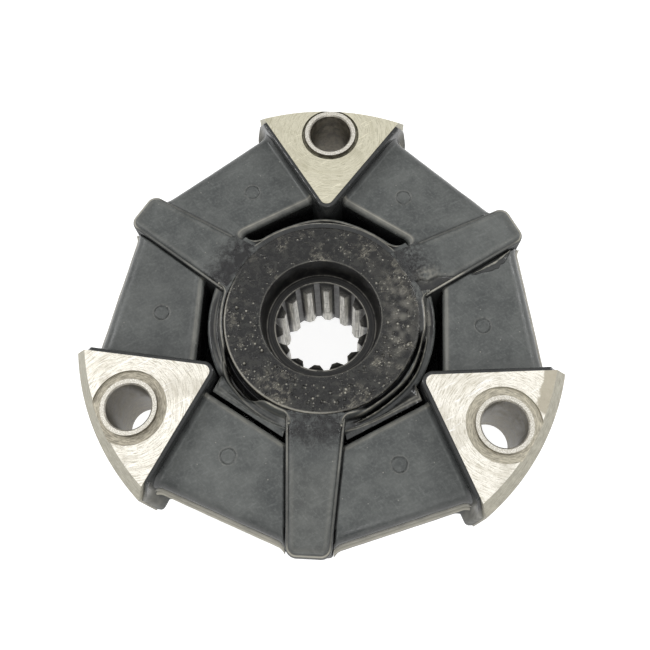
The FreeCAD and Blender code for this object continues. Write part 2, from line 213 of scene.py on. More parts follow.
class Nodes:
    """Short names for building a node tree."""

    def __init__(self, tree):
        self.tree = tree

    def add(self, kind, **inputs):
        node = self.tree.nodes.new("ShaderNode" + kind)
        for key, value in inputs.items():
            self.put(node.inputs[key.replace("_", " ")], value)
        return node

    def put(self, socket, value):
        if isinstance(value, bpy.types.NodeSocket):
            self.tree.links.new(value, socket)
        else:
            socket.default_value = value

    def math(self, operation, *values):
        node = self.add("Math")
        node.operation = operation
        for socket, value in zip(node.inputs, values):
            self.put(socket, value)
        return node.outputs[0]

    def times(self, first, second):
        return self.math("MULTIPLY", first, second)

    def plus(self, first, second):
        return self.math("ADD", first, second)

    def length(self, x, y):
        return self.math("SQRT", self.plus(self.times(x, x), self.times(y, y)))

    def mix(self, share, first, second):
        """Colour mix. The colours are sockets, or red, green and blue."""
        node = self.add("Mix")
        node.data_type = "RGBA"
        factor, a, b = (socket for socket in node.inputs if socket.enabled)
        self.put(factor, share)
        for socket, colour in ((a, first), (b, second)):
            self.put(socket, colour if isinstance(colour, bpy.types.NodeSocket) else (*colour, 1))
        return next(socket for socket in node.outputs if socket.enabled)

    def ramp(self, value, low, high, out_low=0.0, out_high=1.0):
        node = self.add("MapRange", Value=value, From_Min=low, From_Max=high,
                        To_Min=out_low, To_Max=out_high)
        node.interpolation_type = "SMOOTHSTEP"
        return node.outputs[0]

    def noise(self, size, detail=3.0, rough=0.6, vector=None, distort=0.0):
        """Noise with lumps of that size, in mm."""
        node = self.add("TexNoise", Vector=vector or self.place(), Scale=1 / (size * MM),
                        Detail=detail, Roughness=rough, Distortion=distort)
        return node.outputs[0]

    def dots(self, spacing, edge, centre):
        """Scattered round dots, 1 in the middle. Edge and centre are shares of the spacing."""
        cells = self.add("TexVoronoi", Vector=self.place(), Scale=1 / (spacing * MM), Randomness=1.0)
        return self.ramp(cells.outputs["Distance"], edge, centre)

    def place(self):
        return self.add("TexCoord").outputs["Object"]

    def drawn_out(self, lean, stretch):
        """Object coordinates turned by lean in radians and stretched along that line."""
        node = self.add("Mapping", Vector=self.place())
        node.vector_type = "TEXTURE"
        node.inputs["Rotation"].default_value = (0, 0, lean)
        node.inputs["Scale"].default_value = (stretch, 1, 1)
        return node.outputs[0]

    def attribute(self, name):
        node = self.add("Attribute")
        node.attribute_name = name
        return node.outputs["Fac"]

    def join(self, x, y, z):
        return self.add("CombineXYZ", X=x, Y=y, Z=z).outputs[0]

    def split(self, vector):
        return self.add("SeparateXYZ", Vector=vector).outputs[:3]

    def facing_up(self):
        """How far the surface faces up, 1 where it is level."""
        return self.split(self.add("NewGeometry").outputs["Normal"])[2]


class Material(Nodes):
    def __init__(self, name):
        self.material = bpy.data.materials.new(name)
        self.material.use_nodes = True
        super().__init__(self.material.node_tree)
        self.shader = self.tree.nodes["Principled BSDF"]

    def finish(self, colour, roughness, height=None, depth=0.1, **fixed):
        """Depth is the bump's height in mm. Fixed values go on the shader's own sockets."""
        self.put(self.shader.inputs["Base Color"], colour)
        self.put(self.shader.inputs["Roughness"], roughness)
        for key, value in fixed.items():
            self.shader.inputs[key.replace("_", " ")].default_value = value
        if height is not None:
            node = self.add("Bump", Strength=1.0, Distance=depth * MM, Height=height)
            self.put(self.shader.inputs["Normal"], node.outputs[0])
        return self.material


def rubber(name, dark, light):
    """Moulded black rubber with a dusty bloom, under the painted attributes."""
    n = Material(name)
    broad = n.noise(26, 4.0, 0.6)
    mid = n.noise(5.5, 4.0, 0.6)
    fine = n.noise(0.9)
    bloom = n.plus(n.times(broad, 0.6), n.times(mid, 0.4))
    colour = n.mix(n.ramp(bloom, 0.24, 0.80), dark, light)
    for lean, share in ((0.5, 0.22), (2.3, 0.17)):
        wipe = n.noise(0.9, 5.0, 0.7, vector=n.drawn_out(lean, 6.0), distort=0.8)
        wipe = n.times(n.ramp(wipe, 0.52, 0.74), share)
        colour = n.mix(wipe, colour, tinted(light, 1.9))
    colour = n.mix(n.ramp(fine, 0.42, 0.75, 0.0, 0.3), colour, tinted(light, 1.35))
    speck = n.times(n.dots(2.6, 0.11, 0.05), n.ramp(n.noise(7.0, 2.0, 0.55), 0.5, 0.62))
    colour = n.mix(n.times(speck, 0.6), colour, (0.34, 0.33, 0.29))
    grain = n.attribute("grain")
    spots = n.noise(1.1, 5.0, 0.7, distort=0.6)
    colour = n.mix(n.times(grain, n.ramp(spots, 0.45, 0.56)), colour, (0.009, 0.009, 0.009))
    # Near-black where shade is high: painted shade, with black gloss. Pale where the other attribute is
    # high: moulding fins and dust, with painted highlights.
    colour = n.mix(n.attribute("shade"), colour, (0.006, 0.006, 0.0065))
    colour = n.mix(n.attribute("flash"), colour, (0.39, 0.37, 0.31))
    rough = n.ramp(mid, 0.3, 0.75, 0.38, 0.54)
    rough = n.math("SUBTRACT", rough, n.times(n.attribute("shade"), 0.24))
    rough = n.plus(rough, n.times(n.attribute("dull"), 0.42))
    height = n.plus(n.times(fine, 0.25), n.times(mid, 0.5))
    height = n.plus(height, n.times(n.times(grain, spots), 1.6))
    return n.finish(colour, rough, height, depth=0.16, Specular_IOR_Level=0.45)


def film_rubber():
    """Rubber skin over the hub's end face: glossy, pitted, rubbed to brown in patches, with painted
    glints.
    """
    n = Material("hub_skin_rubber")
    broad = n.noise(12, 4.0, 0.6)
    mid = n.noise(2.6, 5.0, 0.65, distort=0.4)
    fine = n.noise(0.5, 3.0, 0.65)
    colour = n.mix(n.ramp(mid, 0.42, 0.66), (0.0035, 0.0035, 0.0035), (0.021, 0.021, 0.018))
    patch = n.times(n.ramp(broad, 0.47, 0.60), n.ramp(mid, 0.44, 0.58))
    hatch = n.ramp(n.noise(0.30, vector=n.drawn_out(0.8, 7.0)), 0.42, 0.62, 0.12, 1.0)
    patch = n.times(patch, n.times(hatch, n.ramp(fine, 0.34, 0.62, 0.25, 1.0)))
    colour = n.mix(patch, colour, (0.21, 0.195, 0.155))
    scored = n.ramp(n.noise(0.35, vector=n.drawn_out(0.15, 14.0)), 0.64, 0.72)
    colour = n.mix(n.times(scored, 0.4), colour, (0.16, 0.15, 0.12))
    # Tiny pale dots: painted glints on the skin's fine bubbles.
    painted_glints = n.times(n.dots(1.1, 0.20, 0.08), n.ramp(n.noise(6.0, 3.0, 0.55), 0.46, 0.60))
    colour = n.mix(n.times(painted_glints, 0.8), colour, (0.40, 0.39, 0.33))
    # Pale where the attribute is high: painted highlights on the bubbles and at the bore's rim, worn
    # edges and rubbed patches.
    colour = n.mix(n.attribute("flash"), colour, (0.42, 0.4, 0.34))
    rough = n.ramp(mid, 0.35, 0.7, 0.20, 0.36)
    height = n.plus(n.times(mid, 0.5), n.times(fine, 0.6))
    return n.finish(colour, rough, height, depth=0.24, Specular_IOR_Level=0.45)


def cast_metal(name, angle, face, warm, cast, sunken, facet):
    """Aluminium insert: milled face with cutter arcs round the bore, cast sides, and a recess darkened
    with painted shade.

    Sunken is the brightness of the recess between the arcs and on them, which is painted shade. Facet is
    the share of the unmilled corner beside the round side.
    """
    n = Material(name)
    x, y, z = n.split(n.place())
    bore = (unit(angle) * BOLT_CIRCLE_RADIUS * MM).tolist()
    dx, dy = n.math("SUBTRACT", x, bore[0]), n.math("SUBTRACT", y, bore[1])
    wander = n.times(n.noise(14, 2.0, 0.5), 0.0035)
    swirl = n.join(n.plus(n.times(n.length(dx, dy), 1.6), wander),
                   n.times(n.math("ARCTAN2", dy, dx), 0.0022), 0.0)
    arcs = n.noise(0.55, 4.0, 0.72, vector=swirl)
    broad_arcs = n.noise(3.2, vector=swirl)
    mottle = n.noise(2.2, 5.0, 0.65)
    polar = n.length(x, y)
    streaks = n.noise(0.5, 4.0, 0.7, vector=n.join(n.times(n.math("ARCTAN2", y, x), 0.012), 0.0, z))

    side = n.mix(n.ramp(streaks, 0.34, 0.66), tinted(cast, 0.68), cast)
    side = n.mix(n.ramp(mottle, 0.42, 0.7, 0.0, 0.22), side, tinted(cast, 1.5))
    side = n.mix(n.times(n.ramp(z, -13 * MM, -22 * MM), 0.45), side, (0.09, 0.085, 0.07))
    corner = n.times(n.ramp(polar, (FACE_RADIUS - 0.1) * MM, (FACE_RADIUS + 0.1) * MM),
                        n.ramp(polar, (FACE_RADIUS + 0.6) * MM, (FACE_RADIUS + 0.2) * MM))
    corner = n.times(corner, n.ramp(z, -1.2 * MM, -0.6 * MM))
    side = n.mix(n.times(corner, 0.8), side, (0.85, 0.83, 0.76))

    milled = n.mix(n.ramp(arcs, 0.34, 0.54), tinted(warm, 0.9), face)
    milled = n.mix(n.ramp(n.noise(0.38, 3.0, 0.7), 0.50, 0.70, 0.0, 0.6), milled, tinted(warm, 0.9))
    milled = n.mix(n.ramp(broad_arcs, 0.52, 0.70, 0.0, 0.45), milled, warm)
    smudge = n.ramp(n.noise(11, 2.0, 0.4, distort=0.5), 0.55, 0.66, 0.0, 0.35)
    milled = n.mix(smudge, milled, tinted(warm, 0.8))
    scratch = n.noise(0.7, vector=n.drawn_out(0.55, 11.0), distort=0.6)
    scratch = n.times(n.ramp(scratch, 0.60, 0.70), 0.6)
    milled = n.mix(scratch, milled, tinted(face, 1.35))
    beside = unit(angle + 90).tolist()
    along = n.plus(n.times(x, beside[0]), n.times(y, beside[1]))
    ragged = n.math("MULTIPLY_ADD", mottle, 0.0035, polar)
    unmilled = n.times(n.ramp(ragged, 77.3 * MM, 78.3 * MM),
                          n.ramp(along, 9.0 * MM, 10.5 * MM, 0.0, facet))
    milled = n.mix(unmilled, milled, n.mix(mottle, (0.36, 0.33, 0.26), (0.50, 0.46, 0.37)))

    flat = n.ramp(n.facing_up(), 0.97, 0.995)
    # The recess below the milled face is painted darker: painted shade.
    sunk = n.times(flat, n.ramp(z, -1.55 * MM, -1.35 * MM, 1.0, 0.0))
    recess = n.mix(n.ramp(arcs, 0.38, 0.62), tinted(warm, sunken[0]), tinted(warm, sunken[1]))
    colour = n.mix(sunk, n.mix(flat, side, milled), recess)
    pits = n.times(n.ramp(n.noise(0.7, 4.0, 0.7), 0.62, 0.70), n.ramp(flat, 0.0, 1.0, 0.3, 0.22))
    colour = n.mix(pits, colour, (0.10, 0.09, 0.07))
    rough = n.plus(n.ramp(arcs, 0.3, 0.7, 0.34, 0.5), n.ramp(flat, 0.0, 1.0, 0.10, 0.0))
    height = n.times(n.plus(n.times(arcs, 0.8), n.times(broad_arcs, 0.5)), flat)
    rugged = n.plus(n.times(mottle, 0.7), n.times(streaks, 0.9))
    height = n.plus(height, n.times(rugged, n.ramp(flat, 0.0, 1.0, 1.0, 0.1)))
    return n.finish(colour, rough, height, depth=0.09, Metallic=0.75)


def hub_steel():
    """Hub: near-black counterbore wall, bright broached spline whose tooth roots are painted dark as
    painted shade, oily bare steel elsewhere.
    """
    n = Material("hub_steel_machined")
    x, y, z = n.split(n.place())
    polar = n.length(x, y)
    broach = n.noise(0.5, vector=n.join(x, y, n.times(z, 0.05)))
    stain = n.noise(2.6, 5.0, 0.65)
    turned = n.noise(0.5, vector=n.join(polar, 0.0, z))
    land = n.mix(n.ramp(broach, 0.38, 0.62), (0.30, 0.29, 0.26), (0.62, 0.60, 0.54))
    # The tooth roots between the lands are painted near-black: painted shade.
    land = n.mix(n.ramp(polar, 14.6 * MM, 15.6 * MM), land, (0.035, 0.034, 0.032))
    land = n.mix(n.ramp(stain, 0.55, 0.72, 0.0, 0.6), land, (0.10, 0.095, 0.085))
    black = n.mix(n.ramp(stain, 0.45, 0.7), (0.006, 0.006, 0.007), (0.035, 0.034, 0.031))
    rubbed = n.mix(n.ramp(turned, 0.5, 0.66), (0.022, 0.022, 0.022), (0.12, 0.115, 0.10))
    bare = n.mix(n.ramp(stain, 0.4, 0.65), (0.16, 0.155, 0.14), (0.34, 0.33, 0.30))
    seat_level = HUB_TOP - COUNTERBORE_DEPTH
    seat = n.times(n.ramp(n.facing_up(), 0.9, 0.98), n.ramp(polar, 20.2 * MM, 19.9 * MM))
    wall = n.times(n.ramp(z, (seat_level - 0.1) * MM, (seat_level + 0.1) * MM),
                      n.ramp(polar, 18.0 * MM, 19.0 * MM))
    inside = n.ramp(polar, 17.4 * MM, 17.2 * MM)
    lead = n.times(n.ramp(z, (seat_level - 3.0) * MM, (seat_level - 1.6) * MM), inside)
    colour = n.mix(inside, bare, land)
    colour = n.mix(n.times(lead, 0.85), colour, rubbed)
    colour = n.mix(seat, colour, rubbed)
    # Thin pale rings on the seat's inner and outer edges: painted highlights.
    for ring in (16.45, 19.15):
        away = n.math("ABSOLUTE", n.math("SUBTRACT", polar, ring * MM))
        line = n.times(n.ramp(away, 0.05 * MM, 0.28 * MM, 0.65, 0.0), n.ramp(stain, 0.3, 0.6))
        colour = n.mix(n.times(line, seat), colour, (0.42, 0.40, 0.35))
    colour = n.mix(wall, colour, black)
    height = n.plus(n.times(broach, 0.4), n.times(stain, 0.6))
    return n.finish(colour, n.ramp(stain, 0.3, 0.7, 0.28, 0.44), height, depth=0.06, Metallic=0.7)


def sleeve_steel():
    """Pressed sleeve: bright turned end, duller stained bore."""
    n = Material("sleeve_steel_turned")
    x, y, z = n.split(n.place())
    stain = n.noise(2.4, 5.0, 0.65)
    lines = n.noise(0.3, 4.0, 0.7, vector=n.join(n.times(x, 0.2), n.times(y, 0.2), z))
    bore = n.mix(n.ramp(stain, 0.36, 0.66), (0.085, 0.073, 0.056), (0.24, 0.215, 0.165))
    bore = n.mix(n.ramp(lines, 0.5, 0.7, 0.0, 0.5), bore, (0.30, 0.28, 0.23))
    grit = n.noise(0.4, 4.0, 0.7)
    face = n.mix(n.ramp(grit, 0.44, 0.62), (0.50, 0.47, 0.40), (0.84, 0.82, 0.76))
    face = n.mix(n.ramp(stain, 0.56, 0.70, 0.0, 0.5), face, (0.38, 0.35, 0.28))
    colour = n.mix(n.ramp(n.facing_up(), 0.55, 0.9), bore, face)
    height = n.plus(n.times(lines, 0.6), n.times(grit, 0.4))
    return n.finish(colour, n.ramp(stain, 0.3, 0.7, 0.32, 0.48), height, depth=0.06, Metallic=0.7)


SLEEVE = sleeve_steel()
RUBBER = rubber("coupling_rubber_moulded", (0.030, 0.034, 0.034), (0.115, 0.121, 0.115))
FILM = film_rubber()


# ---------------- rubber blocks

def arm_half(x):
    """Half the width of an arm at a distance along it."""
    return ARM_ROOT_HALF - ARM_SLOPE * x


# Sides n.p = d of a block beside an arm along +X, with an insert at +60 degrees.
BLOCK_SIDES = {
    "inner": (unit(ARM_TO_INSERT / 2), BLOCK_INNER),
    "outer": (unit(ARM_TO_INSERT / 2 - BLOCK_TILT), BLOCK_OUTER),
    "arm": (np.array([ARM_SLOPE, 1]) / math.hypot(ARM_SLOPE, 1),
            ARM_ROOT_HALF / math.hypot(ARM_SLOPE, 1)),
    "flank": (unit(ARM_TO_INSERT - FLANK_ANGLE + 90), FLANK_OFFSET - COAT),
}
MARK = unit(ARM_TO_INSERT / 2) * MARK_DISTANCE
# Steps (outward, down) over the moulding rim below a block's outer edge. Its pale lines are
# moulding fins and dust with painted highlight.
RIM_STEPS = ((0.16, 0.06), (0.42, 0.1), (0.66, 0.18), (0.78, 0.36), (0.66, 0.56), (0.2, 0.72),
             (-0.3, 0.95), (-0.34, 1.25), (-0.1, 1.45), (0.6, 1.62), (1.2, 1.9), (1.55, 2.4),
             (1.6, 3.2), (1.5, 3.8), (1.0, 4.3), (0.7, 5.0))


def block_ends(side, offset):
    """Both ends of a block's inner or outer line, moved out by offset."""
    line = (BLOCK_SIDES[side][0], BLOCK_SIDES[side][1] + offset)
    return np.array([meet(*line, *BLOCK_SIDES["arm"]), meet(*line, *BLOCK_SIDES["flank"])])


def block_rows():
    """Profile of a block as (kind, offset, z, share): web, inner face, top, rim, wall, bottom."""
    rows = [("web", offset, z, 0) for offset, z in (
        (0.0, BLOCK_BOTTOM), (0.0, WEB_TOP - 5), (0.0, WEB_TOP - 2.5), (0.25, WEB_TOP - 1.4),
        (0.6, WEB_TOP - 0.9), (0.9, WEB_TOP - 0.5))]
    rows += [("inner", 0.0, z, 0) for z in (WEB_TOP + 0.6, -24.0, -20.0, -16.0, -13.0, -11.0, -9.6)]
    for lean in np.radians(np.linspace(0, 90, 10)):
        rows.append(("inner", INNER_ROUND * (1 - math.cos(lean)),
                     BLOCK_TOP - INNER_ROUND * (1 - math.sin(lean)), 0))
    length = BLOCK_OUTER - OUTER_ROUND - BLOCK_INNER - INNER_ROUND
    mark = MARK_DISTANCE - BLOCK_INNER - INNER_ROUND
    rows += [("top", 0.0, BLOCK_TOP, run / length)
             for run in spaced(0, length, 0.55, 0.17, mark, MARK_RADIUS + 0.5)[1:-1]]
    for lean in np.radians(np.linspace(90, 0, 12)):
        rows.append(("outer", -OUTER_ROUND * (1 - math.cos(lean)),
                     BLOCK_TOP - OUTER_ROUND * (1 - math.sin(lean)), 0))
    rows += [("outer", offset, BLOCK_TOP - OUTER_ROUND - drop, 0) for offset, drop in RIM_STEPS]
    rows += [("outer", 0.6, z, 0) for z in np.linspace(-18.0, BLOCK_BOTTOM + 1.0, 10)]
    for lean in np.radians((30, 60, 90)):
        rows.append(("outer", 0.6 - 1.6 * (1 - math.cos(lean)),
                     BLOCK_BOTTOM + 1.0 * (1 - math.sin(lean)), 0))
    rows += [("bottom", 0.0, BLOCK_BOTTOM, share) for share in np.linspace(0.92, 0.08, 14)]
    return rows


def block_points():
    """Points of a block and what each row of them is."""
    rows = block_rows()
    arm_middle, flank_middle = (block_ends("inner", 0.0) + block_ends("outer", 0.0)) / 2
    across = np.linalg.norm(flank_middle - arm_middle)
    middle = (arm_middle + flank_middle) / 2
    mark_at = across / 2 + (MARK - middle) @ (flank_middle - arm_middle) / across
    shares = spaced(0, across, 0.6, 0.17, mark_at, MARK_RADIUS + 0.7) / across
    edge = 2.6 / across
    near = np.linspace(0, edge, 9)[:-1]
    between = shares[(shares > edge) & (shares < 1 - edge)]
    shares = np.concatenate([near, between, 1 - near[::-1]])
    points = np.zeros((len(rows), len(shares), 3))
    for k, (kind, offset, z, share) in enumerate(rows):
        if kind == "web":
            radius = WEB_RADIUS + offset
            start = math.asin(arm_half(radius) / radius)
            angles = start + (math.radians(ARM_TO_INSERT) - WEB_GAP - start) * shares
            points[k, :, :2] = np.c_[radius * np.cos(angles), radius * np.sin(angles)]
        else:
            if kind in ("inner", "outer"):
                a, b = block_ends(kind, offset)
            else:
                first = block_ends("inner", INNER_ROUND)
                last = block_ends("outer", -OUTER_ROUND if kind == "top" else -1.0)
                a, b = first + (last - first) * share
            points[k, :, :2] = a + (b - a) * shares[:, None]
        points[k, :, 2] = z
    return points, np.array([row[0] for row in rows])


def block_piece(number, side):
    points, kinds = block_points()

    def only(*wanted):
        """1 in the rows of those kinds."""
        return np.isin(kinds, wanted)[:, None] * 1.0

    def inside_of(line):
        return points[..., :2] @ BLOCK_SIDES[line][0] - BLOCK_SIDES[line][1]

    from_slot = inside_of("inner")
    by_slot = (number, side) in ((1, 1), (2, -1))
    corner = quarter_round(inside_of("arm") - SLOT_STOP * by_slot,
                           SLOT_END if by_slot else 1.0)
    corner = corner * smooth(7.0, INNER_ROUND, from_slot) * only("inner", "top")
    points[..., :2] -= corner[..., None] * BLOCK_SIDES["inner"][0]
    to_arm, to_flank = inside_of("arm"), -inside_of("flank")
    high = smooth(BLOCK_TOP - OUTER_ROUND - 2, BLOCK_TOP - 0.5, points[..., 2])
    top, outer, upper = only("top"), only("outer"), only("top", "inner", "outer")
    seed = number * 2 + (side > 0)
    before = points.copy()
    lumps = field(before, 14, seed) * 0.10 + field(before, 4, seed + 9) * 0.03
    rise = 1.8 * fade(to_flank, 1.7) ** 2
    # Beside the torn skin of the first arm the groove is wider.
    torn = window(53, 56, 68, 71, points[..., 0]) * (number == 1 and side < 0)
    groove_width = 0.7 + 0.9 * torn
    groove = (0.9 + 0.6 * torn) * fade(to_arm, groove_width + 0.05) ** 0.8
    groove = groove * (0.4 if by_slot else 1.0)
    toe = 0.25 * fade(to_arm, 4.0) ** 2
    away = np.linalg.norm(points[..., :2] - MARK, axis=-1)
    ring = -0.28 * bump(MARK_RADIUS, 0.22, away) + 0.08 * smooth(MARK_RADIUS, MARK_RADIUS - 0.5, away)
    edge = 0.22 * bump(INNER_ROUND + 0.4, 0.8, from_slot)
    points[..., 2] += (high * (rise - groove + toe + edge + lumps) + ring * top) * upper
    skirt = 1.4 * fade(to_flank, 3.2) ** 2 + 1.2 * fade(to_arm, 2.6) ** 2
    swell = outer * (skirt * (1 - 0.6 * high) + field(before, 6, seed + 3) * 0.12)
    points[..., :2] += BLOCK_SIDES["outer"][0] * swell[..., None]

    depth = BLOCK_TOP - OUTER_ROUND - points[..., 2]
    patchy = 0.5 + 0.5 * field(before, 3.0, seed + 5)
    # Pale lines on the rim below the outer edge: moulding fins and dust with painted highlight.
    flash = outer * (bump(0.22, 0.26, depth) * (0.45 + 0.5 * patchy)
                     + window(1.5, 1.7, 3.2, 4.0, depth) * (0.60 + 0.35 * patchy))
    # Pale lines along the inner edge, strongest on the lip beside the open slots: painted highlights.
    flash = flash + bump(0.9, 0.6, from_slot) * high * 0.22 * (0.4 + patchy) * upper
    lip = bump(INNER_ROUND - 0.25, 0.24, from_slot) * (0.55 if by_slot else 0.2)
    flash = flash + lip * high * (0.45 + 0.8 * patchy) * upper * smooth(0.5, 2.0, to_arm)
    flash = flash + top * 0.10 * bump(MARK_RADIUS + 0.45, 0.16, away)
    # Painted shade on the outer round, in the groove by the arm, along the insert's coat, down the slot
    # walls and in the mark's ring.
    shade = outer * (bump(1.1, 0.4, depth) * 0.95 + 0.8 * bump(-1.0, 2.4, depth))
    shade = shade * (1 - 0.8 * outer * bump(0.2, 0.22, depth))
    shade = shade + fade(to_arm, groove_width) * (0.5 if by_slot else 0.9) * high
    shade = shade + fade(to_flank, 1.3) ** 0.5 * 0.7 * high
    shade = np.where((only("web", "inner") > 0) & (points[..., 2] < -9.5), 0.9, shade)
    shade = shade + top * 0.55 * bump(MARK_RADIUS, 0.24, away) * (0.35 + 0.65 * patchy)
    # One block has less bloom on it than the rest.
    shade = shade + 0.17 * top * high * ((number, side) == (2, 1))
    if side < 0:
        points[..., 1] *= -1
    name = "%d_%s" % (number, "left" if side > 0 else "right")
    piece = mesh_piece("block_" + name, turn(points, ARM_ANGLES[number - 1]), RUBBER,
                       wrap_rows=True, flip=side < 0, flash=flash, shade=shade,
                       dull=outer * smooth(0.6, 1.2, depth))
    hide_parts("rubber_block_" + name)
    blend_over_block(piece)


def blend_over_block(piece):
    """Bake the piece's placement into its mesh."""
    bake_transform(piece)


# ---------------- arm covers

# Steps (inward, down) from an arm's flat top over its rim and down its side.
ARM_PROFILE = ((2.8, 0.0), (2.2, -0.02), (1.8, -0.08), (1.5, -0.2), (1.26, -0.42), (1.12, -0.66),
               (1.02, -0.86), (0.92, -0.98), (0.72, -1.0), (0.50, -1.0), (0.36, -1.06), (0.16, -1.28),
               (0.04, -1.6), (0.0, -2.2), (0.05, -4.2), (0.3, -9.0), (0.6, -15.0), (1.0, -21.0),
               (1.4, -27.0), (1.8, -33.0), (2.1, -34.4), (2.7, -35.4), (3.7, -36.0))
TOP_ROWS, SPINE_END = 21, 70.0
# Signs of y on which the collar lies lower beside each arm, so the arm's edge stays open there.
LOW_SIDES = ((-1,), (1,), (-1, 0, 1))
# How black the root of each arm is.
ROOT_SOOT = (0.3, 1.5, 0.9)


def arm_outline():
    """Outline of an arm along +X from its root round its end and back, with outward normals."""
    lean = math.atan(ARM_SLOPE)
    centre_x = ARM_REACH - ARM_CORNER
    centre_y = ARM_ROOT_HALF - ARM_SLOPE * centre_x - ARM_CORNER * math.hypot(ARM_SLOPE, 1)
    xs = np.linspace(33.9, centre_x + ARM_CORNER * math.sin(lean), 110)
    points = [(x, arm_half(x)) for x in xs]
    normals = [(math.sin(lean), math.cos(lean))] * len(xs)
    for angle in np.linspace(math.pi / 2 - lean, 0, 16)[1:]:
        away = math.cos(angle), math.sin(angle)
        points.append((centre_x + ARM_CORNER * away[0], centre_y + ARM_CORNER * away[1]))
        normals.append(away)
    for y in np.linspace(centre_y, 0, 9)[1:]:
        points.append((ARM_REACH, y))
        normals.append((1, 0))
    return both_sides(points), both_sides(normals)


def both_sides(path):
    """The path, then its mirror image in the X axis run back to the start."""
    path = np.array(path)
    return np.concatenate([path, path[-2::-1] * np.array([1, -1])])


def arm_points(number):
    """Points of an arm along +X, and how far inside the outline each of them lies."""
    outline, normals = arm_outline()
    level = np.ones(len(outline))
    spine = np.c_[np.minimum(outline[:, 0], SPINE_END), 0 * level]
    inset = outline - normals * ARM_PROFILE[0][0]
    rows = [np.c_[spine + (inset - spine) * share, HUB_TOP * level]
            for share in np.linspace(0, 1, TOP_ROWS + 1)[:-1]]
    at_end = smooth(75.0, 78.0, outline[:, 0])[:, None]
    for depth, drop in ARM_PROFILE:
        draft = depth * (at_end if -34 < drop < -4 else 1)
        rows.append(np.c_[outline - normals * draft, (HUB_TOP + drop) * level])
    under = outline - normals * ARM_PROFILE[-1][0]
    rows += [np.c_[spine + (under - spine) * share, ARM_BOTTOM * level]
             for share in np.linspace(0.9, 0, 6)]
    points = np.array(rows)
    away = np.zeros(points.shape[:2])
    away[:TOP_ROWS] = ARM_PROFILE[0][0] + np.linalg.norm(points[:TOP_ROWS, :, :2] - inset, axis=-1)
    raised = 1 - np.isin(np.sign(outline[:, 1]), LOW_SIDES[number - 1])
    for row, (depth, drop) in enumerate(ARM_PROFILE, TOP_ROWS):
        away[row] = depth
        if drop > -2.5:
            flush = smooth(45.5, 42.0, np.hypot(points[row, :, 0], points[row, :, 1])) * raised
            points[row, :, 2] -= drop * flush * (0.95 if drop > -1.2 else 0.6)
    return points, away


def arm_piece(number):
    points, away = arm_points(number)
    x, y = points[..., 0], points[..., 1]
    reach = np.hypot(x, y)
    lower = (y < 0) * (number == 1)
    top = smooth(-1.2, 0.0, points[..., 2] - HUB_TOP)
    lumps = field(points, 12, number + 30) * 0.08 + field(points, 3.5, number + 40) * 0.03
    contour = -0.05 * (bump(2.9, 0.22, away) + bump(4.0, 0.22, away)) * smooth(64, 70, x)
    points[..., 2] += top * (lumps + contour)
    points[..., 2] -= 0.12 * top * smooth(HUB_RADIUS + 0.75, HUB_RADIUS + 0.15, reach)
    # The raised top of the first arm stops short of its lower edge near the root.
    inside = arm_half(x) - np.abs(y)
    valley_width = 4.5 * smooth(51.0, 41.5, x) + 2.0 * smooth(39.5, 36.5, x)
    valley = smooth(valley_width + 0.3, valley_width - 0.5, inside) * smooth(51.5, 49.5, x)
    valley = valley * smooth(0.5, 1.1, inside) * lower
    points[..., 2] -= 1.1 * valley * top

    drop = HUB_TOP - points[..., 2]
    patchy = 0.5 + 0.5 * field(points, 2.5, number + 50)
    beyond = smooth(73, 77, x)
    # Pale line on the ledge round the arm's rim, brightest round the end and on the open edges: beige
    # moulding fins with painted highlight.
    ledge = bump(0.66, 0.24, away) * window(0.7, 0.9, 1.2, 1.5, drop)
    flash = ledge * (0.20 * (0.3 + 0.9 * patchy) + 0.8 * beyond)
    open_edge = np.isin(np.sign(y), LOW_SIDES[number - 1]) * smooth(55, 50, reach)
    flash = flash + ledge * open_edge * (0.8 if number == 1 else 0.25)
    flash = flash + 0.07 * bump(2.3, 0.5, away) * smooth(44, 50, reach)
    flash = flash + 0.035 * top * (number == 3) * smooth(46, 56, reach)
    speckled = held(1.4 * patchy - 0.25 + 0.9 * field(points, 0.9, 55))
    dusty = bump(40.2, 3.8, x) * bump(valley_width + 2.6, 3.4, inside) * lower * speckled
    flash = flash + 0.36 * dusty * top
    # Pale line along the valley's edge: painted highlight.
    valley_edge = bump(valley_width + 0.7, 0.5, inside) * window(37.0, 38.5, 46, 50, x)
    flash = flash + 0.10 * valley_edge * lower
    on_side = away < ARM_PROFILE[0][0] - 0.1
    # Painted shade on the arm's sides and end wall, in the valley, and on the ledge away from the root.
    shade = smooth(1.08, 1.2, drop) * 0.8 * on_side + 0.5 * bump(0.65, 0.3, drop) * on_side
    shade = shade * (1 - 0.9 * valley) + 0.86 * valley
    shade = shade + 0.45 * ledge * smooth(48, 55, reach) * (1 - beyond)
    soot = ROOT_SOOT[number - 1] * smooth(46, 38, reach) * held(1.9 * patchy - 0.35)
    shade = shade + (soot + 0.5 * (number == 1) * smooth(39.0, 36.5, reach)) * (drop < 1)
    shade = shade + 0.35 * beyond * window(1.4, 2.6, 3.6, 7.0, away)
    grain = smooth(49, 37, reach) * (0.8 + 0.6 * patchy) * (1 - 0.6 * valley) * (1 - 0.8 * dusty)
    piece = mesh_piece("arm_rubber_%d" % number, turn(points, ARM_ANGLES[number - 1]), RUBBER,
                       flash=flash, shade=shade, grain=grain, dull=smooth(1.5, 2.5, drop))
    close_arm_root(piece)
    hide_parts("arm_cover_%d" % number)
    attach(piece, "hub_side")


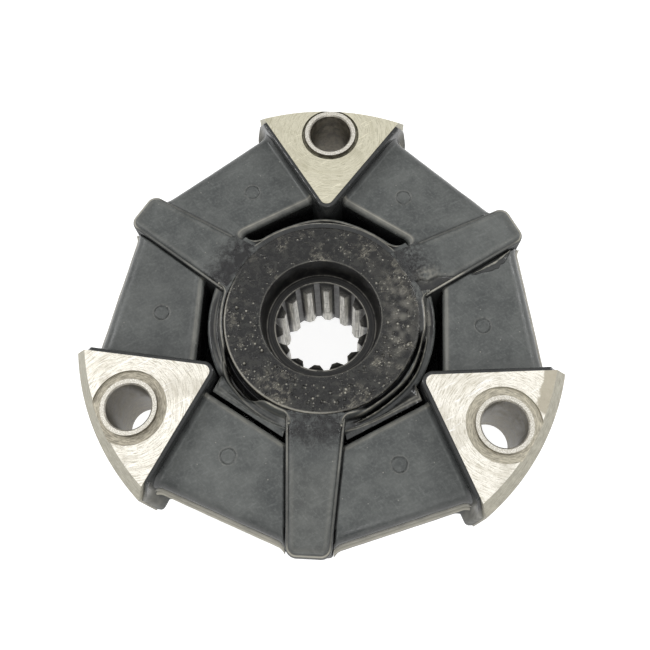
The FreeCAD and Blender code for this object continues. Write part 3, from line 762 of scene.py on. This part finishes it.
def close_arm_root(piece):
    """Weld the spine, then close the open root, which lies inside the collar."""
    work = bmesh.new()
    work.from_mesh(piece.data)
    bmesh.ops.remove_doubles(work, verts=work.verts, dist=0.003 * MM)
    bmesh.ops.holes_fill(work, edges=[edge for edge in work.edges if edge.is_boundary], sides=0)
    bmesh.ops.recalc_face_normals(work, faces=work.faces)
    work.to_mesh(piece.data)
    work.free()
    piece.data.set_sharp_from_angle(angle=SHARP_ANGLE)


# ---------------- collar round the hub

COLLAR_COLUMNS = 1440
COLLAR_START = HUB_RADIUS + 0.2


def collar_sectors():
    """What the collar is like round the hub, one value per column.

    gap is the distance to the nearest arm's side. low is 1 where the collar lies low, and right
    on the low side beside the first arm. fold, torn and loose are the places of the folds of
    skin, the tear and the skin round it.
    """
    azimuth = np.arange(COLLAR_COLUMNS) * 360 / COLLAR_COLUMNS
    to_insert = np.abs((azimuth - 90 + 60) % 120 - 60)
    arm_side = math.degrees(math.asin(arm_half(SLOT_RADIUS) / SLOT_RADIUS))
    gap = np.radians(60 - to_insert - arm_side) * SLOT_RADIUS
    low = 1 - window(24, 32, 148, 156, azimuth)
    right = smooth(332, 345, azimuth) + smooth(28, 20, azimuth)
    outer = COLLAR_RADIUS + 1.1 * bump(0, 16, to_insert) * (1 - low) + 1.35 * low
    outer = outer + 1.08 * quarter_round(gap - SLOT_STOP, SLOT_END) * (1 - low)
    level = 0.35 + 3.2 * smooth(SLOT_STOP, 7.5, gap)
    level = level * (1 - low) + (3.3 + 0.9 * smooth(0.0, 5.0, gap)) * low
    beside_arm = smooth(-1.3, -0.5, gap)
    flat_width = 0.95 + 1.0 * right + beside_arm * quarter_round(np.maximum(gap, 0), 3.4)
    return SimpleNamespace(
        azimuth=azimuth, gap=gap, low=low, right=right, outer=outer, level=level,
        beside_arm=beside_arm, flat_width=flat_width,
        edge=outer + 0.4 * window(216, 225, 252, 262, azimuth),
        fold=window(288, 300, 347, 357, azimuth),
        torn=window(197, 203, 239, 244, azimuth),
        torn_width=0.6 + 3.3 * window(197, 219, 226, 243, azimuth),
        loose=window(190, 204, 247, 256, azimuth),
        wander=0.25 * np.sin(np.radians(azimuth) * 9.0))


def collar_shoulder(c):
    """Rows (radius, z) from the hub outwards, and how strong the painted highlights on the crests and the
    painted shade in the hollows are.
    """
    rows, crests, hollows = [], [], []
    lip = (1 - c.fold) * (1 - c.loose) * (1 - c.low) * smooth(1.0, 3.0, c.gap)
    for share in np.linspace(0, 1, 34):
        run = (c.edge - 0.9 - COLLAR_START) * share
        radius = COLLAR_START + run
        waved = run - c.wander
        stepped = 0.06 * share + 0.80 * smooth(2.0, 2.6, run) + 0.14 * smooth(2.6, 4.2, run)
        fall = (1 - c.low) * stepped + c.low * smooth(c.flat_width, c.flat_width + 1.75, run)
        sunk = smooth(0.3, 0.0, run) * smooth(0.0, 3.0, c.gap) * c.low * (1 - c.right)
        z = HUB_TOP - 0.1 - c.level * fall - 0.55 * sunk
        z = z + c.low * c.beside_arm * 0.30 * bump(c.flat_width - 0.1, 0.4, run)
        hollow = bump(0.75, 0.45, run) * 2.4 + bump(2.65, 0.42, waved) * 3.0
        z = z + c.fold * (1.35 * bump(1.75, 0.34, waved) + 1.9 * bump(3.55, 0.34, waved) - hollow)
        hole = smooth(c.torn_width + 0.1, c.torn_width - 0.3, run + c.wander)
        z = z - c.torn * 5.2 * smooth(0.15, 0.35, run) * hole
        z = z + c.loose * 0.9 * bump(c.torn_width + 0.5, 0.6, waved)
        z = z + 0.30 * lip * bump(1.95, 0.3, run)
        rows.append((radius, z))
        low_edge = c.low * c.beside_arm * (1 - c.fold) * (1 - c.torn)
        crests.append(c.fold * (0.8 * bump(1.75, 0.18, waved) + 0.9 * bump(3.55, 0.18, waved))
                      + c.loose * 0.45 * bump(c.torn_width + 0.3, 0.24, waved)
                      + low_edge * 0.8 * bump(c.flat_width - 0.05, 0.22, run)
                      + lip * 0.80 * bump(2.0, 0.17, run)
                      + lip * 0.75 * bump(c.outer - 1.0, 0.22, radius))
        between = smooth(2.2, 2.4, run) * smooth(c.outer - 1.2, c.outer - 1.4, radius)
        hollows.append(c.fold * hollow / 3.0 + 0.6 * lip * between)
    return rows, np.array(crests), np.array(hollows)


def collar_piece():
    """Rubber ring round the hub: shoulder, slot wall, folds of loose skin."""
    c = collar_sectors()
    rows, crests, hollows = collar_shoulder(c)
    shoulder = len(rows)
    for inset, extra in ((0.55, 0.16), (0.28, 0.42), (0.1, 0.8), (0.0, 1.4)):
        rows.append((c.edge - inset, HUB_TOP - 0.1 - c.level - extra))
    for z in (-13.0, -16.0, -19.0, -22.0, -25.0):
        rows.append((c.edge if z > -15 else c.outer, z))
    wide = np.maximum(c.outer, WEB_RADIUS - 0.08)
    rows += [(wide, z) for z in (-26.5, -30.0, -35.0, -40.0, -45.0)]
    rows += [(wide - inset, z) for inset, z in ((0.3, -45.9), (0.9, -46.6), (1.6, COLLAR_BOTTOM))]
    rows += [(HUB_RADIUS + 0.05 + (wide - 1.6 - HUB_RADIUS) * share, COLLAR_BOTTOM)
             for share in (0.6, 0.3, 0.0)]
    rows += [(HUB_RADIUS + 0.05, z) for z in (-40.0, -30.0, -20.0, -12.0, -10.0)]
    rad = np.array([np.broadcast_to(radius, COLLAR_COLUMNS) for radius, _ in rows])
    z = np.array([np.broadcast_to(height, COLLAR_COLUMNS) for _, height in rows])
    lean = np.radians(c.azimuth)
    points = on_circle(rad, lean, z)
    # The slot wall is streaked from top to bottom.
    push = 0.12 * field(on_circle(34 + 0 * z, lean, z * 0.12), 1.6, 77)
    push = push * smooth(HUB_TOP - 6.0, HUB_TOP - 8.0, z) * (z > -26)
    points[..., :2] += push[..., None] * np.stack([np.cos(lean), np.sin(lean)], -1)
    points[..., 2] += (field(points, 3.0, 78) * 0.10) * (z > -12) * (rad > COLLAR_START + 0.1)

    drop = HUB_TOP - z
    run = rad - COLLAR_START
    flush = smooth(6.0, 1.0, c.gap)
    patchy = 0.5 + 0.5 * field(points, 1.6, 79)
    row = np.arange(len(rows))[:, None]
    above = row < shoulder
    # The shoulder's darker tone is black gloss, as is the flat ring by the disc. Painted shade down the
    # slot wall, in the tear's hole and in the groove at the disc's edge.
    shade = smooth(4.5, 8.5, drop) * 0.9 + above * (0.42 - 0.40 * flush - 0.25 * c.loose)
    ring = held(c.right + 1 - c.low) * smooth(2.1, 1.8, run) * above
    shade = shade + 0.34 * ring * smooth(1.0, 4.0, c.gap)
    shade = shade + c.torn * smooth(c.torn_width + 0.1, c.torn_width - 0.2, run) * above
    groove = (row < 3) & (c.torn < 0.3) & (c.gap > 1.5) & (c.low > 0.5) & (c.right < 0.5)
    shade = np.where(groove, 0.85, shade)
    # Streaks along the low sides, outside the flat rim.
    drawn = np.stack([run, c.azimuth * 0.045 + 0 * run, 0 * run], -1)
    streaked = (1 - c.fold) * c.low * smooth(1.5, 2.4, run) * above
    streak = field(drawn, 0.55, 81) * streaked
    shade = shade + 0.22 * streaked + 0.9 * held(streak)
    # Painted shade in the folds' hollows and below the rim; painted highlights on the crests and lips.
    shade[:shoulder] += hollows
    flash = 0.45 * held(-streak)
    flash[:shoulder] += crests * (0.3 + 0.9 * patchy[:shoulder])
    grain = held(flush * smooth(3.0, 0.0, run) * (0.6 + patchy))
    rough_side = 0.45 * patchy * c.low * (1 - c.fold) * smooth(1.6, 2.4, run)
    grain = np.maximum(grain, rough_side) * above
    piece = mesh_piece("hub_collar_rubber", points, RUBBER, wrap_rows=True, wrap_columns=True,
                       flip=True, flash=flash, shade=shade, grain=grain)
    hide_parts("hub_cover")
    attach(piece, "hub_side")


# ---------------- skins

def slot_skin(side):
    """Loose moulding skin from the collar towards a block beside the third arm."""
    share = np.linspace(0, 1, 190)
    angle = 14.5 + (56.5 - 14.5) * share
    straight = (BLOCK_INNER - 1.35) / np.cos(np.radians(angle - ARM_TO_INSERT / 2))
    from_insert = np.radians(FLANK_ANGLE - (ARM_TO_INSERT - angle))
    beside_insert = (FLANK_OFFSET - COAT - 0.9) / np.sin(np.clip(from_insert, 0.2, None))
    inner = COLLAR_RADIUS + 0.3
    outer = np.maximum(np.minimum(straight, beside_insert), inner + 0.5)
    rows, crests = [], []
    for across in np.linspace(0, 1, 16):
        crest = bump(0.15 + 0.75 * share, 0.09, across) + 0.8 * bump(0.75 * share - 0.12, 0.08, across)
        level = -8.9 + 0.9 * smooth(0, 0.5, across) * smooth(1.4, 0.9, across) + 0.35 * crest
        rows.append((inner + (outer - inner) * across, level))
        crests.append(crest)
    crests = np.array(crests)
    edge = len(rows)
    for inset, level in ((0.06, -9.0), (0.02, -9.5), (0.0, -10.2), (0.3, -10.8)):
        rows.append((outer - inset, 0 * share + level))
    rows.append((inner + 0 * share, -10.9 + 0 * share))
    rad, level = np.array(rows).transpose(1, 0, 2)
    points = on_circle(rad, side * np.radians(angle), level)
    points[:edge, :, 2] += 0.22 * field(points[:edge], 2.4, 83) + 0.10 * field(points[:edge], 0.9, 84)
    patchy = 0.5 + 0.5 * field(points, 1.8, 85 + side)
    # Painted highlights along the skin's crests, stronger on the right skin. Painted shade on its edge
    # and underside; its top is black gloss, darker towards the insert.
    flash = np.zeros(level.shape)
    flash[:edge] = crests * (0.2 + 0.7 * patchy[:edge]) * (0.75 if side > 0 else 0.25)
    shade = np.full(level.shape, 0.85)
    shade[:edge] = (0.6 + 0.3 * smooth(0.6, 1.0, share) if side > 0 else 0.22) - 0.3 * crests
    piece = mesh_piece("slot_skin_%s" % ("right" if side > 0 else "left"),
                       turn(points, ARM_ANGLES[2]), RUBBER, wrap_rows=True, flip=side < 0,
                       flash=flash, shade=shade)
    blend_over_block(piece)


def skin_piece():
    """Thin rubber skin on the hub's end face, with bubbles carrying painted highlights, and rubbed edges.
    """
    azimuth = np.arange(1100) * 360 / 1100
    lean = np.radians(azimuth)
    inner, outer = COUNTERBORE_RADIUS + 0.15, HUB_RADIUS + 0.03
    profile = [(inner - 0.05, -0.9), (inner - 0.05, -0.25), (inner + 0.05, 0.0), (inner + 0.25, 0.1)]
    profile += [(radius, 0.12) for radius in np.linspace(inner + 0.5, outer - 0.7, 70)]
    profile += [(outer - 0.4, 0.08), (outer - 0.15, -0.04), (outer, -0.3), (outer, -1.1)]
    rad, z = np.array(profile).T[..., None] + 0 * lean
    flush = np.maximum(window(22, 30, 150, 158, azimuth),
                       smooth(332, 345, azimuth) + smooth(34, 26, azimuth))
    rad = rad + 0.5 * flush * smooth(outer - 0.6, outer - 0.15, rad)
    points = on_circle(rad, lean, HUB_TOP + z)
    face = smooth(inner, inner + 0.5, rad) * smooth(outer, outer - 0.6, rad)
    points[..., 2] += face * (field(points, 5, 5) * 0.10 + field(points, 1.3, 6) * 0.05)
    random = np.random.default_rng(24)
    # Bubbles raise the skin; their tops carry painted highlights.
    bright = np.zeros(rad.shape)
    for _ in range(330):
        angle = random.uniform(0, 360)
        if random.uniform() > 0.35 + 0.65 * (abs((angle - 270 + 180) % 360 - 180) < 100):
            continue
        distance = random.uniform(inner + 1.2, outer - 1.0)
        size = random.uniform(0.30, 0.74)
        gap = np.linalg.norm(points[..., :2] - unit(angle) * distance, axis=-1)
        points[..., 2] += 0.85 * size * fade(gap ** 2, size ** 2)
        bright = np.maximum(bright, held(1.4 - 2 * gap / size) * random.uniform(0, 1.0) ** 2)
    # Pale where the outer edge is worn, with a faint painted highlight all round; a painted highlight on
    # the rim at the bore; a rubbed patch at the +X side.
    worn = smooth(0.35, 0.75, np.cos(lean - math.radians(222)))
    edge = bump(outer - 0.25, 0.28, rad) * (0.10 + 0.60 * worn) * (1 - 0.7 * flush)
    rim = bump(inner + 0.2, 0.25, rad) * 0.14
    brushed = bump(0, 34, (azimuth - 2 + 180) % 360 - 180) * bump(27.5, 4.0, rad)
    brushed = 0.34 * brushed * held(0.35 + 0.9 * field(points, 2.2, 8))
    piece = mesh_piece("hub_face_skin", points, FILM, wrap_columns=True,
                       flash=bright + edge + rim + brushed)
    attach(piece, "hub_side")


def torn_flap():
    """Strip of torn moulding skin that lies on the block beside the first arm."""
    along = np.linspace(54.3, 71.0, 90)
    share = np.linspace(0, 1, len(along))
    near = -(arm_half(along) + 1.25 - 0.5 * smooth(0.6, 1.0, share))
    width = 2.7 * np.sin(np.pi * share) ** 0.55 * (0.55 + 0.45 * smooth(0.1, 0.5, share))
    ragged = np.array([noise.noise(Vector((x / 1.7, 3.0, 0.0))) for x in along])
    width = np.clip(width + 0.5 * ragged * width / 2.7, 0.12, None)
    rows = []
    for across, height in ((0.0, -0.9), (0.0, 0.25), (0.06, 0.62), (0.2, 0.72), (0.34, 0.5), (0.55, 0.34),
                           (0.75, 0.3), (0.92, 0.26), (1.0, 0.1), (1.02, -0.3), (0.5, -0.9)):
        curl = height + 0.12 * np.sin(share * 19.0) * (height > 0)
        rows.append(np.c_[along, near - width * across, BLOCK_TOP + curl])
    points = np.array(rows)
    points[..., 1] += 0.12 * field(points, 1.2, 91)
    # Painted highlight along the flap's curled crest; the rest of it is black gloss.
    crest = np.zeros(points.shape[:2])
    crest[2:4] = 0.75
    piece = mesh_piece("arm_1_torn_skin", turn(points, ARM_ANGLES[0]), RUBBER,
                       wrap_rows=True, flash=crest * (0.6 + 0.4 * ragged), shade=0.75 - 0.7 * crest)
    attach(piece, "hub_side")


# ---------------- insert coats

def coat_path():
    """Outline of an insert's two flanks and tip, with outward normals and the length of a flank."""
    half = math.radians(FLANK_ANGLE)
    apex = FLANK_OFFSET / math.sin(half)
    length = -apex * math.cos(half) + math.sqrt(INSERT_RADIUS ** 2 - FLANK_OFFSET ** 2)
    tip_run = TIP_RADIUS / math.tan(half)
    runs = np.linspace(length - 0.6, tip_run, FLANK_POINTS)
    points = [(apex + run * math.cos(half), run * math.sin(half)) for run in runs]
    normals = [(-math.sin(half), math.cos(half))] * len(runs)
    centre = apex + TIP_RADIUS / math.sin(half)
    for angle in np.linspace(math.pi / 2 + half, math.pi, 10)[1:]:
        away = math.cos(angle), math.sin(angle)
        points.append((centre + away[0] * TIP_RADIUS, away[1] * TIP_RADIUS))
        normals.append(away)
    return both_sides(points), both_sides(normals), length - tip_run


FLANK_POINTS, COAT_BOTTOM = 90, -36.7


def coat_piece(number):
    """Rubber over an insert's flanks and tip. It swells into a lobe near the round side."""
    path, normals, flank = coat_path()
    reach = np.hypot(path[:, 0], path[:, 1])
    order = np.arange(len(path))
    to_end = np.minimum(order, order[::-1]) * flank / (FLANK_POINTS - 1)
    closing = np.sqrt(1 - fade(to_end, 1.8) ** 2) * 0.94 + 0.06
    ragged = np.array([noise.noise(Vector((x / 2.2, y / 2.2, number * 3.0))) for x, y in path])
    top = -1.25 - 1.9 * np.clip(reach - 78.3, 0, None) + 0.16 * ragged
    wall = smooth(73.5, 77.5, reach)
    rows = [(0.0, top), (0.0, top), (0.55 * COAT, top), (0.85 * COAT, top - 0.1), (COAT, top - 0.32)]
    for share in (0.06, 0.13, 0.2, 0.3, 0.42, 0.55, 0.68, 0.8, 0.9, 0.97):
        z = top - 0.4 + (COAT_BOTTOM - top + 0.4) * share
        lobe = wall * 1.9 * smooth(-7, -20, z) * np.sqrt(held((z - COAT_BOTTOM) / 8.0))
        rows.append((COAT + lobe, z))
    rows += [(COAT * 0.9, COAT_BOTTOM + 0.4), (COAT * 0.5, COAT_BOTTOM), (0.0, COAT_BOTTOM)]
    points = np.array([np.c_[path + normals * (thick * closing - 0.02)[:, None], z + 0 * reach]
                       for thick, z in rows])
    level = points[..., 2]
    patchy = 0.5 + 0.5 * field(points, 2.6, number + 60)
    # The coat is black gloss with painted shade along the metal, lighter down the lobe.
    shade = 0.8 - 0.35 * smooth(-4, -12, level) * wall
    flash = 0.45 * smooth(77.5, 80.0, reach) * patchy * smooth(-4, -9, level) * smooth(-34, -22, level)
    piece = mesh_piece("insert_rubber_%d" % number, turn(points, INSERT_ANGLES[number - 1]), RUBBER,
                       wrap_rows=True, flash=flash, shade=shade, dull=smooth(-8, -14, level))
    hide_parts("insert_coat_%d" % number)
    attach(piece, "flange_side")


# ---------------- the scene

def paint(node, material):
    """Give a CAD piece its material."""
    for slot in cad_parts[node].material_slots:
        slot.material = material


# Milled face, its darker arcs, cast sides, brightness of the recess, share of unmilled corner.
# The recess is darker than the face, as painted shade. The first insert's face is darker and
# greener than the others: painted shade, as it takes less light, with a little tint.
INSERT_LOOKS = (
    ((0.66, 0.63, 0.50), (0.50, 0.47, 0.34), (0.44, 0.42, 0.34), (0.10, 0.5), 0.0),
    ((0.88, 0.85, 0.77), (0.48, 0.44, 0.35), (0.40, 0.38, 0.31), (0.45, 1.0), 0.0),
    ((0.90, 0.87, 0.79), (0.54, 0.50, 0.40), (0.40, 0.38, 0.31), (0.55, 1.1), 1.0),
)
for number, angle, looks in zip((1, 2, 3), INSERT_ANGLES, INSERT_LOOKS):
    paint("flange_insert_%d" % number, cast_metal("insert_aluminium_%d" % number, angle, *looks))
    paint("insert_sleeve_%d" % number, SLEEVE)
    coat_piece(number)
    arm_piece(number)
    for side in (1, -1):
        block_piece(number, side)
paint("splined_hub", hub_steel())
collar_piece()
slot_skin(1)
slot_skin(-1)
skin_piece()
torn_flap()


def sky():
    """Soft studio sky: brightest overhead, dim lower down, with a pale band at the horizon."""
    world = bpy.data.worlds.new("studio")
    world.use_nodes = True
    bpy.context.scene.world = world
    n = Nodes(world.node_tree)
    up = n.split(n.add("TexCoord").outputs["Generated"])[2]
    overhead = n.math("POWER", n.math("MAXIMUM", up, 0.0), 1.6)
    band = n.add("MapRange", Value=up, From_Min=0.16, From_Max=0.24, To_Min=0.85, To_Max=0.0)
    strength = n.plus(n.math("MULTIPLY_ADD", overhead, 1.05, 0.18), band.outputs[0])
    background = world.node_tree.nodes["Background"]
    n.put(background.inputs["Strength"], strength)
    background.inputs["Color"].default_value = (1, 1, 1, 1)


def floor():
    """Pale floor that gives off a little light of its own."""
    mesh = bpy.data.meshes.new("floor")
    size, level = 12.0, cad_box[0].z - 0.0002
    mesh.from_pydata([(-size, -size, level), (size, -size, level), (size, size, level),
                      (-size, size, level)], [], [(0, 1, 2, 3)])
    n = Material("floor_pale")
    colour = n.mix(n.noise(120, 2.0, 0.55), (0.40, 0.40, 0.40), (0.44, 0.44, 0.44))
    mesh.materials.append(n.finish(colour, 0.9, Emission_Color=(1, 1, 1, 1), Emission_Strength=0.86))
    put_in_scene("floor", mesh)


def lights():
    for name, place, size, power in (("key", (-0.62, 0.16, 0.50), 0.22, 2.0),
                                     ("side", (0.60, 0.38, 0.42), 0.18, 1.7),
                                     ("front", (0.10, -0.62, 0.55), 0.25, 1.6)):
        light = bpy.data.lights.new(name, "AREA")
        light.size = size
        light.energy = power
        lamp = put_in_scene(name, light)
        lamp.location = place
        lamp.rotation_mode = "QUATERNION"
        lamp.rotation_quaternion = (-Vector(place)).to_track_quat("-Z", "Y")


def camera():
    """The photo's camera, as fitted to the spline, the sleeves and the inserts."""
    forward = Vector((-0.04328, 0.38394, -0.92234)).normalized()
    right = forward.cross(Vector((-0.03777, 0.92192, 0.38554))).normalized()
    up = right.cross(forward)
    data = bpy.data.cameras.new("camera")
    data.sensor_width = 36
    data.lens = 45.74
    data.shift_x, data.shift_y = 0.0077, -0.0969
    data.clip_start, data.clip_end = 0.01, 20
    eye = put_in_scene("camera", data)
    basis = Matrix((right, up, -forward)).transposed().to_4x4()
    eye.matrix_world = Matrix.Translation((0.011265, -0.091295, 0.263267)) @ basis
    bpy.context.scene.camera = eye


floor()
sky()
lights()
camera()
bpy.context.scene.view_settings.view_transform = "Standard"
